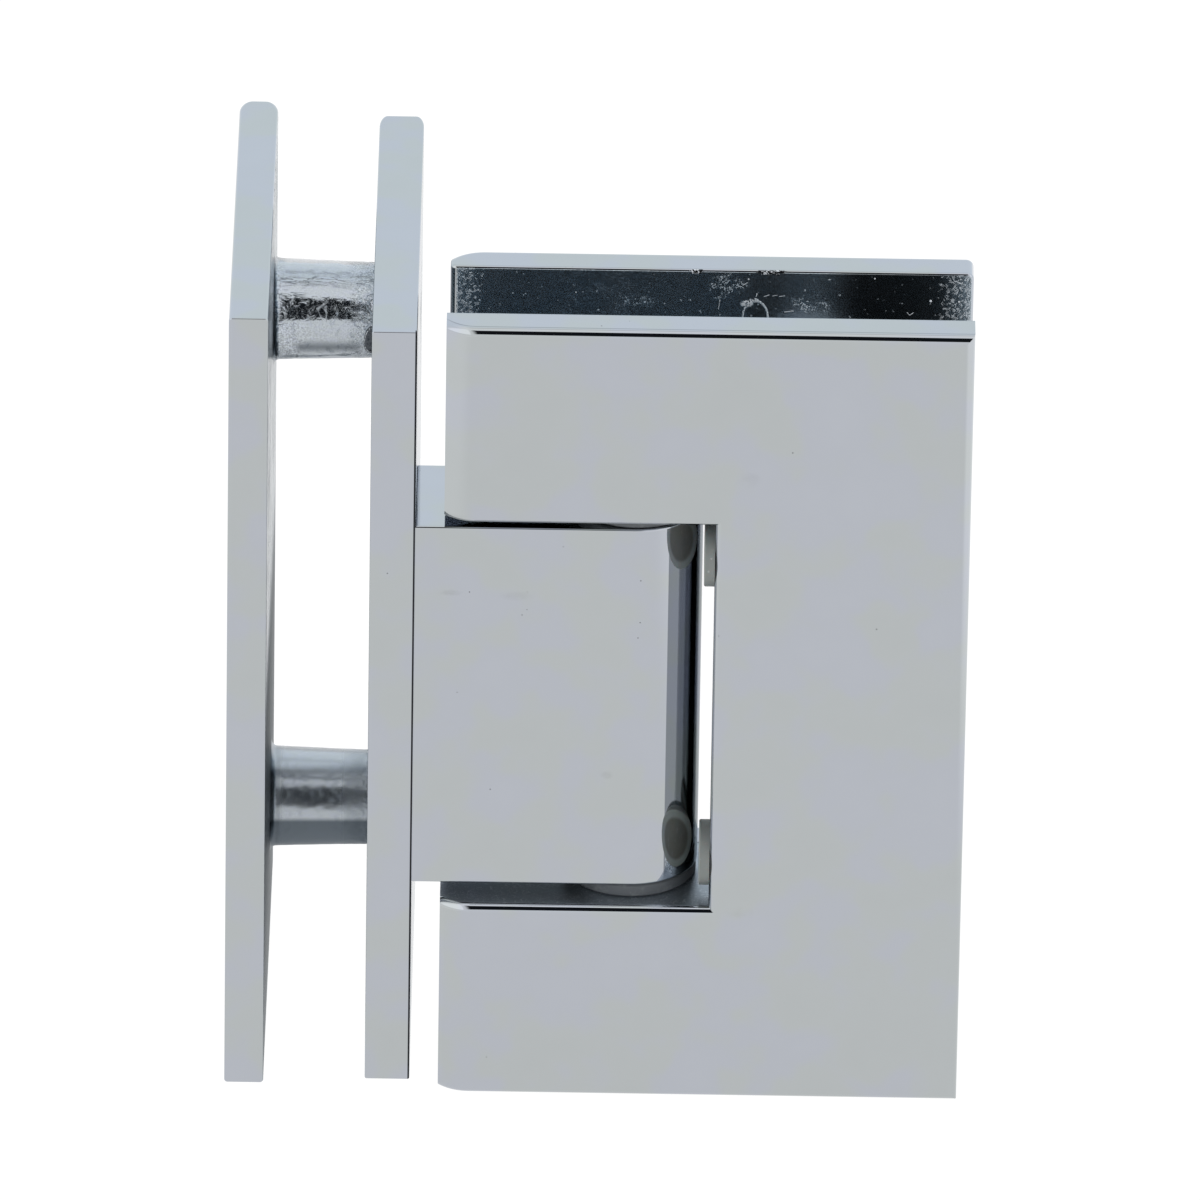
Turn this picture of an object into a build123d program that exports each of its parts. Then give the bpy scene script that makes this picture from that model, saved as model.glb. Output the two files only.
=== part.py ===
from build123d import *
import os

# Glass door hinge, 90 degree glass to glass, for a shower door.
#
# Two fixed plates clamp the edge of a standing glass panel. A block on the inner plate holds a
# vertical pivot pin, and a door leaf of two more plates clamps the door's glass and swings on it.
# All sizes are in millimetres. +X points from the fixed panel along the closed door, +Y points
# from the door's outside face towards its inside, and +Z points up. The origin lies on the inner
# fixed plate's glass face, midway between the two clamp screws.

# ---------------------------------------------------------------- driving dimensions

# Fixed leaf: two plates that stand parallel to the YZ plane
fixed_gap = 10.7          # clear gap that takes the fixed glass and its gaskets
outer_thick = 4.1
outer_height = 90.0
outer_front = 34.4        # clamp screw axis to the plate's front edge
inner_thick = 4.7
inner_height = 88.0
inner_front = 35.0        # clamp screw axis to the plate's front edge
inner_back = 15.9         # clamp screw axis to the plate's back edge

# Door leaf: two plates that stand parallel to the XZ plane, with a notch round the block
door_gap = 10.8           # clear gap that takes the door glass and its gaskets
front_thick = 3.9
back_thick = 3.9
door_height = 90.0
arm_reach = 19.85         # pivot axis to the ends of the two arms
leaf_reach = 34.75        # pivot axis to the leaf's far edge
rib_arm = 11.0            # height of the cast rib above and below the notch
rib_web = 3.2             # thickness of the cast rib behind the notch's end wall

# Edges
front_roll = 0.9          # rolled edge round the front plate's outside face
back_roll = 0.7           # the same on the back plate
glass_roll = 0.3          # small rounding on the door plates' glass side
fixed_roll = 0.12         # edges round the fixed plates' front faces, hardly broken
outer_roll = 0.35         # rounding of the outer fixed plate's long top and bottom edges
inner_roll = 0.2          # the same on the inner fixed plate
outer_nose_width = 1.35   # how far the outer plate's back corners are worn in across its thickness
inner_nose_width = 0.8    # the same on the inner plate
nose_depth = 2.4          # how far both plates' back corners are worn in along their length
back_corner = 0.8         # rounding of the back plate's upright outside edge at the far end
back_bend = 0.6           # rounding of the back plate's upright glass-side edges at the arms' ends
back_step = 0.25          # the back plate's arms end this much short of the front plate's
block_edge = 0.25         # rounding along the block's top and bottom rims
ease_radius = 4.5         # easing of the arms' pivot-side edges, which pass close to the fixed leaf
front_ease = 1.3          # how deep that easing cuts into the front plate's end
back_ease = 1.8           # the same on the back plate

# Cast bosses that the clamp screws draw up on
boss_inset = 16.0         # boss axis to the top or bottom edge of the plate it is cast on
boss_edge = 17.0          # boss axis to the far edge of its plate, on both leaves
boss_root = 10.6
boss_tip = 9.9
boss_fillet = 0.5
boss_seat = 0.02          # the boss ends this far short of the opposite plate

# Pivot block, which is screwed to the inner fixed plate
pivot_reach = 22.85       # inner plate's face to the pivot axis
pivot_front = 26.9        # clamp screw axis forward to the pivot axis
block_width = 14.2        # its end is a half round of this diameter
block_height = 41.9

# Pivot pin, keyed to the door leaf by two cross pins
pin_diameter = 8.0
pin_flat = 3.5            # pivot axis to each of the four detent flats
pin_flat_length = 22.0
pin_inset = 0.5           # the pin ends this far inside the rib
pin_chamfer = 0.5
cross_pin_diameter = 3.0
cross_pin_inset = 0.2     # the cross pin ends this far below the rib's back face
cross_pin_floor = 0.5     # rib metal left in front of the cross pin's hole

# Spring plungers, which hold the door closed and at a right angle either way
plunger_diameter = 6.0
plunger_length = 8.0
plunger_spacing = 11.0
plunger_chamfer = 0.4
spring_outer = 5.2
spring_wire = 0.9
spring_turns = 5

# Washers and bumper pads between the block and the notch
washer_diameter = 13.9
washer_thick = 1.45
washer_edge = 0.2
pad_diameter = 6.9
pad_thick = 1.1
pad_drop = 4.85           # pad axis to the arm above or below it
pad_setback = 3.65        # pad axis behind the door's front face
pad_edge = 0.2

# Countersunk socket screws, all alike
screw_diameter = 6.0
screw_length = 14.0
screw_head = 11.0
screw_land = 0.3          # height of the straight rim round the head
screw_socket = 4.0        # across flats
screw_socket_depth = 2.2
screw_chamfer = 0.6
block_screw_spacing = 31.0
thread_spare = 1.5        # each tapped hole is this much deeper than its screw

# Clearances
running_clearance = 0.05  # radial, between the pin or plungers and their bores
fixed_clearance = 0.02    # radial, where a pin is held fast
thread_clearance = 0.05   # radial, between a screw and its tapped hole
screw_clearance = 0.3     # radial, between a screw and the plate it passes through
head_clearance = 0.05     # between a screw's head and its countersink
thrust_clearance = 0.05   # between each washer and the block
pad_gap = 0.1             # between the pads and the block's round end
spring_clearance = 0.1    # at each end of a spring

overcut = 1.0             # how far a cut runs past the metal it goes through

# ---------------------------------------------------------------- places that follow

pivot_x = inner_thick + pivot_reach
pivot_y = -pivot_front
leaf_thick = front_thick + door_gap + back_thick
leaf_front = pivot_y - leaf_thick / 2
leaf_back = leaf_front + leaf_thick
slot_front = leaf_front + front_thick
slot_back = slot_front + door_gap
arm_end = pivot_x - arm_reach
leaf_end = pivot_x + leaf_reach
notch_half = block_height / 2 + thrust_clearance + washer_thick
notch_wall = pivot_x + block_width / 2 + pad_gap + pad_thick
rib_top = notch_half + rib_arm
door_boss_x = leaf_end - boss_edge
outer_face = -fixed_gap - outer_thick
sides = {"top": 1, "bottom": -1}
fixed_boss = outer_height / 2 - boss_inset
door_boss = door_height / 2 - boss_inset
block_screw = block_screw_spacing / 2
plunger_row = plunger_spacing / 2
pad_row = notch_half - pad_drop
cross_pin_row = notch_half + rib_arm / 2
plunger_face = pivot_x - pin_diameter / 2 - running_clearance
plunger_back = plunger_face - plunger_length


# ---------------------------------------------------------------- shared shapes

def block_between(low, high):
    """A box from its lowest corner to its highest."""
    size = [b - a for a, b in zip(low, high)]
    middle = [(a + b) / 2 for a, b in zip(low, high)]
    return Pos(*middle) * Box(*size)


def rod(start, direction, length, diameter):
    """A round bar that starts at a point and runs along a direction."""
    return extrude(Plane(origin=start, z_dir=direction) * Circle(diameter / 2), length)


def screw_pocket(start, direction, depth):
    """Cut for a countersunk screw: the head's rim and cone, and a clearance hole."""
    cone_low = screw_diameter / 2 + screw_clearance
    cone_top = screw_head / 2 + head_clearance
    seat = Plane(origin=start, z_dir=direction)
    rim = seat * extrude(Circle(cone_top), screw_land + head_clearance)
    cone_height = cone_top - cone_low
    cone_place = seat * Pos(0, 0, screw_land + head_clearance + cone_height / 2)
    cone = cone_place * Cone(cone_top, cone_low, cone_height)
    hole = seat * extrude(Circle(cone_low), depth)
    return rim + cone + hole


def tapped_hole(start, direction, depth):
    """A plain hole at the thread's outer diameter, with a drill point at its end."""
    radius = screw_diameter / 2 + thread_clearance
    place = Plane(origin=start, z_dir=direction)
    point = place * Pos(0, 0, depth + radius / 4) * Cone(radius, radius / 2, radius / 2)
    return place * extrude(Circle(radius), depth) + point


def countersunk_screw(start, direction):
    """A socket screw whose flat head lies in the plane at its start."""
    shank = screw_diameter / 2
    head = screw_head / 2
    cone_height = head - shank
    profile = Polyline(
        (0, 0),
        (head, 0),
        (head, screw_land),
        (shank, screw_land + cone_height),
        (shank, screw_length - screw_chamfer),
        (shank - screw_chamfer, screw_length),
        (0, screw_length),
        close=True,
    )
    body = revolve(Plane.XZ * make_face(profile), Axis.Z)
    socket = extrude(RegularPolygon(screw_socket / 2, 6, major_radius=False), screw_socket_depth)
    return Plane(origin=start, z_dir=direction) * (body - socket)


def clamp_boss(start, direction, length):
    """A drafted cast boss with a fillet round its root."""
    root = boss_root / 2
    tip = boss_tip / 2
    bend = boss_fillet * (1 - 0.5**0.5)
    profile = Curve() + [
        Line((0, 0), (root + boss_fillet, 0)),
        ThreePointArc((root + boss_fillet, 0), (root + bend, bend), (root, boss_fillet)),
        Line((root, boss_fillet), (tip, length)),
        Line((tip, length), (0, length)),
        Line((0, length), (0, 0)),
    ]
    boss = revolve(Plane.XZ * make_face(profile), Axis.Z)
    return Plane(origin=start, z_dir=direction) * boss


def notch_cut(y_low, y_high):
    """Cut for the notch that the block stands in, a little past both faces and the arms' ends."""
    low = (arm_end - overcut, y_low - overcut, -notch_half)
    high = (notch_wall, y_high + overcut, notch_half)
    return block_between(low, high)


def leaf_plate(y_low, y_high, ease, ease_low, end, corner, bend):
    """A door plate with its notch, its arms' pivot-side edge eased on the side that shows."""
    width = (2 * ease_radius * ease - ease**2) ** 0.5
    show, glass = (y_low, y_high) if ease_low else (y_high, y_low)
    inward = 1 if ease_low else -1
    tangent = (end + width, show)
    centre_y = show + inward * ease_radius
    middle_x = end + width / 2
    middle_y = centre_y - inward * (ease_radius**2 - (width / 2) ** 2) ** 0.5
    edge = (end, show + inward * ease)
    outline = [ThreePointArc(tangent, (middle_x, middle_y), edge)]
    slant = 0.5**0.5
    if bend:
        bend_start = (end, glass - inward * bend)
        bend_end = (end + bend, glass)
        side = bend * (1 - slant)
        bend_middle = (end + side, glass - inward * side)
        outline += [Line(edge, bend_start), ThreePointArc(bend_start, bend_middle, bend_end)]
    else:
        bend_end = (end, glass)
        outline += [Line(edge, bend_end)]
    outline += [Line(bend_end, (leaf_end, glass))]
    if corner:
        corner_start = (leaf_end, show + inward * corner)
        corner_end = (leaf_end - corner, show)
        side = corner * (1 - slant)
        corner_middle = (leaf_end - side, show + inward * side)
        outline += [Line((leaf_end, glass), corner_start)]
        outline += [ThreePointArc(corner_start, corner_middle, corner_end)]
    else:
        corner_end = (leaf_end, show)
        outline += [Line((leaf_end, glass), corner_end)]
    outline += [Line(corner_end, tangent)]
    face = make_face(Curve() + outline)
    plate = Pos(0, 0, -door_height / 2) * extrude(face, door_height)
    return plate - notch_cut(y_low, y_high)


def rolled(plate, axis, side, radius):
    """Round the edges of the flat face that lies furthest along an axis, or furthest back."""
    faces = plate.faces().filter_by(axis).sort_by(axis)
    face = faces[-1] if side > 0 else faces[0]
    return fillet(face.outer_wire().edges(), radius)


# ---------------------------------------------------------------- fixed leaf

def fixed_plate(x_low, x_high, y_low, y_high, height, nose_width, long_roll):
    """An upright plate with worn back corners, rolled long edges and a crisp front face."""
    back = y_high - nose_depth
    nose_high = x_high - nose_width
    nose_low = x_low + nose_width
    outline = Curve() + [
        Line((x_low, y_low), (x_high, y_low)),
        Line((x_high, y_low), (x_high, back)),
        EllipticalCenterArc((nose_high, back), nose_width, nose_depth, 0),
        Line((nose_high, y_high), (nose_low, y_high)),
        EllipticalCenterArc((nose_low, back), nose_width, nose_depth, 90),
        Line((x_low, back), (x_low, y_low)),
    ]
    plate = Pos(0, 0, -height / 2) * extrude(make_face(outline), height)
    for end in (-1, 0):
        rim = plate.faces().sort_by(Axis.Z)[end].outer_wire().edges()
        plate = fillet(rim.sort_by(Axis.Y)[1:], long_roll)
    return rolled(plate, Axis.Y, -1, fixed_roll)


def make_fixed_outer_plate():
    """Cover plate on the far side of the glass, cast with the two bosses."""
    span = (outer_face, -fixed_gap, -outer_front, boss_edge)
    plate = fixed_plate(*span, outer_height, outer_nose_width, outer_roll)
    depth = screw_length - inner_thick + thread_spare
    for z in (fixed_boss, -fixed_boss):
        plate += clamp_boss((-fixed_gap, 0, z), (1, 0, 0), fixed_gap - boss_seat)
        plate -= tapped_hole((-boss_seat, 0, z), (-1, 0, 0), depth)
    return plate


def make_fixed_inner_plate():
    """Plate between the glass and the block, with countersinks on both its sides."""
    span = (0, inner_thick, -inner_front, inner_back)
    plate = fixed_plate(*span, inner_height, inner_nose_width, inner_roll)
    for z in (fixed_boss, -fixed_boss):
        plate -= screw_pocket((inner_thick, 0, z), (-1, 0, 0), inner_thick)
    for z in (block_screw, -block_screw):
        plate -= screw_pocket((0, pivot_y, z), (1, 0, 0), inner_thick)
    return plate


def make_pivot_block():
    """Bar with a half-round end, bored for the pivot pin, the plungers and their screws."""
    seat = Rectangle(pivot_reach, block_width, align=(Align.MAX, Align.CENTER))
    outline = Pos(pivot_x, pivot_y) * (seat + Circle(block_width / 2))
    block = Pos(0, 0, -block_height / 2) * extrude(outline, block_height)
    block = rolled(block, Axis.Z, 1, block_edge)
    block = rolled(block, Axis.Z, -1, block_edge)
    bore = pin_diameter + 2 * running_clearance
    block -= rod((pivot_x, pivot_y, -block_height), (0, 0, 1), 2 * block_height, bore)
    well = plunger_diameter + 2 * running_clearance
    for z in (plunger_row, -plunger_row):
        block -= rod((inner_thick, pivot_y, z), (1, 0, 0), pivot_reach, well)
    depth = screw_length - inner_thick + thread_spare
    for z in (block_screw, -block_screw):
        block -= tapped_hole((inner_thick, pivot_y, z), (1, 0, 0), depth)
    return block


def make_detent_plunger(z):
    """Round slug whose flat nose rides on the pivot pin."""
    slug = rod((plunger_back, pivot_y, z), (1, 0, 0), plunger_length, plunger_diameter)
    return chamfer(slug.edges(), plunger_chamfer)


def make_detent_spring(z):
    """Open coil between the inner plate and a plunger."""
    radius = (spring_outer - spring_wire) / 2
    start = inner_thick + spring_clearance + spring_wire / 2
    length = plunger_back - spring_clearance - spring_wire / 2 - start
    coil = Helix(length / spring_turns, length, radius)
    section = Plane(origin=coil @ 0, z_dir=coil % 0) * Circle(spring_wire / 2)
    spring = sweep(section, path=coil, is_frenet=True)
    return Plane(origin=(start, pivot_y, z), z_dir=(1, 0, 0)) * spring


# ---------------------------------------------------------------- door leaf

def make_door_front_plate():
    """Front plate cast in one with the rib round the notch and the two bosses."""
    plate = leaf_plate(leaf_front, slot_front, front_ease, True, arm_end, 0, 0)
    plate = rolled(plate, Axis.Y, -1, front_roll)
    rib = block_between(
        (arm_end, slot_front - front_thick / 2, -rib_top),
        (notch_wall + rib_web, slot_back, rib_top),
    )
    plate += rib - notch_cut(leaf_front, slot_back)
    depth = screw_length - back_thick + thread_spare
    for z in (door_boss, -door_boss):
        plate += clamp_boss((door_boss_x, slot_front, z), (0, 1, 0), door_gap - boss_seat)
        plate -= tapped_hole((door_boss_x, slot_back - boss_seat, z), (0, -1, 0), depth)
    bore = pin_diameter + 2 * fixed_clearance
    reach = rib_top + overcut
    plate -= rod((pivot_x, pivot_y, -reach), (0, 0, 1), 2 * reach, bore)
    key = cross_pin_diameter + 2 * fixed_clearance
    for z in (cross_pin_row, -cross_pin_row):
        plate -= rod((pivot_x, slot_back, z), (0, -1, 0), door_gap - cross_pin_floor, key)
    return plate


def make_door_back_plate():
    """Flat cover with the same notch, which the clamp screws pass through."""
    end = arm_end + back_step
    plate = leaf_plate(slot_back, leaf_back, back_ease, False, end, back_corner, back_bend)
    plate = rolled(plate, Axis.Y, 1, back_roll)
    plate = rolled(plate, Axis.Y, -1, glass_roll)
    for z in (door_boss, -door_boss):
        plate -= screw_pocket((door_boss_x, leaf_back, z), (0, -1, 0), back_thick)
    return plate


def make_pivot_pin():
    """Round pin with four detent flats half way up and a cross hole near each end."""
    half = rib_top - pin_inset
    pin = rod((pivot_x, pivot_y, -half), (0, 0, 1), 2 * half, pin_diameter)
    pin = chamfer(pin.edges(), pin_chamfer)
    waist = Box(2 * pin_flat, 2 * pin_flat, pin_flat_length)
    band = Cylinder(pin_diameter, pin_flat_length)
    pin -= Pos(pivot_x, pivot_y, 0) * (band - waist)
    key = cross_pin_diameter + 2 * fixed_clearance
    for z in (cross_pin_row, -cross_pin_row):
        pin -= rod((pivot_x, pivot_y - pin_diameter, z), (0, 1, 0), 2 * pin_diameter, key)
    return pin


def make_cross_pin(z):
    """Keys the pivot pin to one arm of the door leaf."""
    length = door_gap - cross_pin_floor - cross_pin_inset
    start = (pivot_x, slot_back - cross_pin_inset, z)
    return rod(start, (0, -1, 0), length, cross_pin_diameter)


def make_thrust_washer(side):
    """Flat washer that carries an arm on the block."""
    bore = pin_diameter / 2 + running_clearance
    ring = Cylinder(washer_diameter / 2, washer_thick) - Cylinder(bore, washer_thick)
    rims = ring.edges().filter_by(GeomType.CIRCLE).sort_by(SortBy.RADIUS)[-2:]
    ring = chamfer(rims, washer_edge)
    return Pos(pivot_x, pivot_y, side * (notch_half - washer_thick / 2)) * ring


def make_bumper_pad(z):
    """Small disc on the notch's end wall, which stops the leaf against the block's flat side."""
    start = (notch_wall, leaf_front + pad_setback, z)
    pad = rod(start, (-1, 0, 0), pad_thick, pad_diameter)
    return fillet(pad.edges().sort_by(Axis.X)[0], pad_edge)


# ---------------------------------------------------------------- all the pieces

pieces = {
    "fixed_outer_plate": make_fixed_outer_plate(),
    "fixed_inner_plate": make_fixed_inner_plate(),
    "pivot_block": make_pivot_block(),
    "door_front_plate": make_door_front_plate(),
    "door_back_plate": make_door_back_plate(),
    "pivot_pin": make_pivot_pin(),
}
for row, side in sides.items():
    fixed_screw = (inner_thick, 0, side * fixed_boss)
    door_screw = (door_boss_x, leaf_back, side * door_boss)
    pieces[f"fixed_clamp_screw_{row}"] = countersunk_screw(fixed_screw, (-1, 0, 0))
    pieces[f"door_clamp_screw_{row}"] = countersunk_screw(door_screw, (0, -1, 0))
    seat_screw = (0, pivot_y, side * block_screw)
    pieces[f"block_screw_{row}"] = countersunk_screw(seat_screw, (1, 0, 0))
    pieces[f"detent_plunger_{row}"] = make_detent_plunger(side * plunger_row)
    pieces[f"detent_spring_{row}"] = make_detent_spring(side * plunger_row)
    pieces[f"bumper_pad_{row}"] = make_bumper_pad(side * pad_row)
    pieces[f"cross_pin_{row}"] = make_cross_pin(side * cross_pin_row)
    pieces[f"thrust_washer_{row}"] = make_thrust_washer(side)

os.makedirs("parts", exist_ok=True)
for name, solid in pieces.items():
    export_step(solid, f"parts/{name}.step")
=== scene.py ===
import math

import bpy
from mathutils import Matrix, Vector, noise


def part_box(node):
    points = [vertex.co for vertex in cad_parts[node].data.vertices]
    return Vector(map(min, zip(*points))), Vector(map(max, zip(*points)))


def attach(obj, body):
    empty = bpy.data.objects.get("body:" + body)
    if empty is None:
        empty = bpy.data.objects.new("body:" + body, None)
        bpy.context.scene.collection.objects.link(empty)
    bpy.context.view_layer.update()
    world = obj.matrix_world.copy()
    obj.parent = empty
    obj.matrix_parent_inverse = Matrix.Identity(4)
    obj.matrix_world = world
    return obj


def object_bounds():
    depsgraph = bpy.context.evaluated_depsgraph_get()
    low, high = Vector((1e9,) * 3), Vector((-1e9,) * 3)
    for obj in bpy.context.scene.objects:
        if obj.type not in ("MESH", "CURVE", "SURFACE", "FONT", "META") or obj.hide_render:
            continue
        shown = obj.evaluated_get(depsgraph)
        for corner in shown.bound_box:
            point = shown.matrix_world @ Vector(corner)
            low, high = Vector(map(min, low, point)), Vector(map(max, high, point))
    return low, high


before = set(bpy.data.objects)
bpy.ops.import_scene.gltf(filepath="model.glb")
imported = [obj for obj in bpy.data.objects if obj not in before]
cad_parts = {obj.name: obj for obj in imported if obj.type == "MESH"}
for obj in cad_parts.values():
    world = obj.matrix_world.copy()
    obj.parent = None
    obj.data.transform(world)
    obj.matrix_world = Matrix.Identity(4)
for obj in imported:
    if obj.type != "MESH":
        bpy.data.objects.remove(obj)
cad_low, cad_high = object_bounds()

MM = 0.001


def box_mm(node):
    """Lowest and highest corner of a solid, in millimetres."""
    return [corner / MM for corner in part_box(node)]


def middle_mm(node):
    low, high = box_mm(node)
    return (low + high) / 2


# Places on the part, in millimetres. The lower row mirrors the upper one, so only the upper is measured
inner_low, inner_high = box_mm("fixed_inner_plate")
front_low, front_high = box_mm("door_front_plate")
back_low, back_high = box_mm("door_back_plate")
block_low, block_high = box_mm("pivot_block")
pad_low, pad_high = box_mm("bumper_pad_top")
pad = middle_mm("bumper_pad_top")
pivot = middle_mm("pivot_pin")
fixed_screw = middle_mm("fixed_clamp_screw_top")
door_screw = middle_mm("door_clamp_screw_top")
block_screw = middle_mm("block_screw_top")
plunger = middle_mm("detent_plunger_top")
cross_pin = middle_mm("cross_pin_top")

front_thickness = 3.9
outer_glass = -10.7  # the outer plate's side towards the glass, at the root of its bosses
slot_front = front_low.y + front_thickness  # the slot is where the glass goes in the door leaf
slot_back = back_low.y
boss_z = fixed_screw.z
notch_half = box_mm("thrust_washer_top")[1].z
notch_wall = pad_high.x

# The bosses' drafted wall, the bend at their root and the cover of the skin over them
boss_root = 5.3
boss_tip = 4.95
boss_bend = 0.62
skin_cover = 0.03


# ---------------------------------------------------------------- node helpers

class Graph:
    """Short calls that add and link nodes in one tree."""

    def __init__(self, tree):
        self.tree = tree
        tree.nodes.clear()

    def add(self, kind, inputs=None, **settings):
        node = self.tree.nodes.new(kind)
        for key, value in settings.items():
            setattr(node, key, value)
        for key, value in (inputs or {}).items():
            self.put(node.inputs[key], value)
        return node

    def put(self, socket, value):
        if isinstance(value, bpy.types.NodeSocket):
            self.tree.links.new(value, socket)
        elif socket.type == "RGBA":
            socket.default_value = (*value, 1)
        else:
            socket.default_value = value

    def math(self, operation, a, b=0.0, c=0.0, clamp=False):
        node = self.add("ShaderNodeMath", operation=operation, use_clamp=clamp)
        for socket, value in zip(node.inputs, (a, b, c)):
            self.put(socket, value)
        return node.outputs[0]

    def chain(self, operation, values):
        result = values[0]
        for value in values[1:]:
            result = self.math(operation, result, value)
        return result

    def times(self, *values):
        return self.chain("MULTIPLY", values)

    def plus(self, *values):
        return self.chain("ADD", values)

    def most(self, *values):
        return self.chain("MAXIMUM", values)

    def scaled(self, value, factor, offset):
        return self.math("MULTIPLY_ADD", value, factor, offset)

    def apart(self, a, b):
        """How far two numbers lie apart."""
        return self.math("ABSOLUTE", self.math("SUBTRACT", a, b))

    def step(self, value, low, high):
        """0 below low, 1 above high, smooth between."""
        node = self.add("ShaderNodeMapRange", interpolation_type="SMOOTHSTEP")
        for key, v in zip(("Value", "From Min", "From Max"), (value, low, high)):
            self.put(node.inputs[key], v)
        return node.outputs[0]

    def fall(self, value, low, high):
        """1 below low, 0 above high, smooth between."""
        return self.math("SUBTRACT", 1.0, self.step(value, low, high))

    def between(self, value, low, high, soft):
        """1 between low and high, fading out over soft on both sides."""
        rise = self.step(value, low - soft, low + soft)
        fall = self.step(value, high - soft, high + soft)
        return self.math("SUBTRACT", rise, fall, clamp=True)

    def mix(self, factor, a, b):
        node = self.add("ShaderNodeMix", data_type="RGBA")
        self.put(node.inputs[0], factor)
        self.put(node.inputs[6], a)
        self.put(node.inputs[7], b)
        return node.outputs[2]

    def paint(self, base, color, strength, *masks):
        """A base with a colour laid over it where all the masks are."""
        return self.mix(self.times(*masks, strength), base, color)

    def shade(self, color, factor):
        """A colour times a number."""
        return self.vector("SCALE", color, scale=factor)

    def vector(self, operation, a, b=None, scale=None):
        node = self.add("ShaderNodeVectorMath", operation=operation)
        self.put(node.inputs[0], a)
        if b is not None:
            self.put(node.inputs[1], b)
        if scale is not None:
            self.put(node.inputs["Scale"], scale)
        return node.outputs["Value" if operation in ("LENGTH", "DISTANCE", "DOT_PRODUCT") else "Vector"]

    def place(self):
        """Finds the point in millimetres, in the part's own frame, and its three parts."""
        spot = self.add("ShaderNodeTexCoord").outputs["Object"]
        self.p = self.vector("SCALE", spot, scale=1 / MM)
        self.x, self.y, self.z = self.add("ShaderNodeSeparateXYZ", {0: self.p}).outputs

    def stretched(self, scale, shift=(0, 0, 0)):
        return self.vector("ADD", self.vector("MULTIPLY", self.p, scale), shift)

    def noise(self, scale, detail=2.0, rough=0.5, twist=0.0, at=None):
        inputs = {"Vector": at or self.p, "Scale": scale, "Detail": detail}
        inputs["Roughness"] = rough
        inputs["Distortion"] = twist
        return self.add("ShaderNodeTexNoise", inputs).outputs["Fac"]

    def dots(self, scale, size, share):
        """Few small round dots: a share of the cells holds one."""
        cell = self.add("ShaderNodeTexVoronoi", {"Vector": self.p, "Scale": scale}, feature="F1").outputs
        pick = self.add("ShaderNodeSeparateColor", {0: cell["Color"]}).outputs[0]
        return self.times(self.fall(cell["Distance"], size * 0.5, size), self.math("LESS_THAN", pick, share))

    def blob(self, centre, radii, soft=0.5):
        """1 inside an ellipsoid, fading out towards its rim."""
        offset = self.vector("SUBTRACT", self.p, centre)
        reach = self.vector("LENGTH", self.vector("DIVIDE", offset, radii))
        return self.fall(reach, 1.0 - soft, 1.0)

    def streak(self, start, end, width, soft=0.6):
        """1 along a line between two points, of a given width."""
        start, end = Vector(start), Vector(end)
        along = end - start
        offset = self.vector("SUBTRACT", self.p, tuple(start))
        reach = self.vector("DOT_PRODUCT", offset, tuple(along / along.length_squared))
        clamped = self.math("MULTIPLY", reach, 1.0, clamp=True)
        nearest = self.vector("SCALE", tuple(along), scale=clamped)
        gap = self.vector("DISTANCE", offset, nearest)
        return self.fall(gap, width / 2 * (1 - soft), width / 2)

    def bump(self, height, distance, strength=1.0, normal=None):
        inputs = {"Height": height, "Distance": distance * MM, "Strength": strength}
        if normal is not None:
            inputs["Normal"] = normal
        return self.add("ShaderNodeBump", inputs).outputs[0]


def new_material(name):
    material = bpy.data.materials.new(name)
    material.use_nodes = True
    g = Graph(material.node_tree)
    g.place()
    return material, g


def close_material(g, **inputs):
    shader = g.add("ShaderNodeBsdfPrincipled", inputs)
    out = g.add("ShaderNodeOutputMaterial")
    g.put(out.inputs["Surface"], shader.outputs[0])


# ---------------------------------------------------------------- studio

TENT_BEHIND = (1.036, 1.116, 1.175)
TENT_FRONT = (1.08, 1.09, 1.10)
TENT_ROOF = (1.22, 1.23, 1.25)
TENT_SEAM = (0.25, 0.27, 0.30)
SOFT_BOX = (1.45, 1.47, 1.50)
OPENING = (0.010, 0.012, 0.015)


def make_world():
    world = bpy.data.worlds.new("studio")
    bpy.context.scene.world = world
    world.use_nodes = True
    g = Graph(world.node_tree)
    direction = g.add("ShaderNodeTexCoord").outputs["Generated"]
    side, depth, up = g.add("ShaderNodeSeparateXYZ", {0: direction}).outputs
    height = g.math("ARCSINE", up)
    front = g.math("MULTIPLY", depth, -1.0)
    # the tent's walls and roof
    wall = g.mix(g.step(front, -0.3, 0.3), TENT_BEHIND, TENT_FRONT)
    color = g.mix(g.step(up, 0.80, 0.97), wall, TENT_ROOF)
    # two seams in the wall behind
    behind = g.times(g.step(depth, 0.0, 0.2), g.fall(g.math("ABSOLUTE", side), 0.08, 0.20))
    low_seam = g.times(g.between(height, math.radians(34), math.radians(43), 0.03), behind, 0.40)
    high_seam = g.times(g.between(height, math.radians(68), math.radians(76), 0.03), behind, 0.45)
    color = g.mix(g.most(low_seam, high_seam), color, TENT_SEAM)
    # soft boxes at both sides in front
    raised = g.times(g.step(height, math.radians(8), math.radians(14)), g.step(front, 0.05, 0.25))
    left_box = g.step(g.math("MULTIPLY", side, -1.0), 0.24, 0.32)
    right_box = g.step(side, 0.55, 0.62)
    color = g.mix(g.times(raised, g.most(left_box, right_box)), color, SOFT_BOX)
    # an opening in front, above the lens
    above = g.step(height, math.radians(20), math.radians(23))
    beyond = g.step(height, math.radians(69), math.radians(73))
    facing = g.times(g.step(front, 0.0, 0.25), g.step(side, -0.22, -0.10), g.fall(side, 0.10, 0.28))
    color = g.mix(g.times(g.math("SUBTRACT", above, beyond), facing), color, OPENING)
    shade = g.add("ShaderNodeBackground", {"Color": color, "Strength": 1.0})
    out = g.add("ShaderNodeOutputWorld")
    g.put(out.inputs["Surface"], shade.outputs[0])


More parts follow.
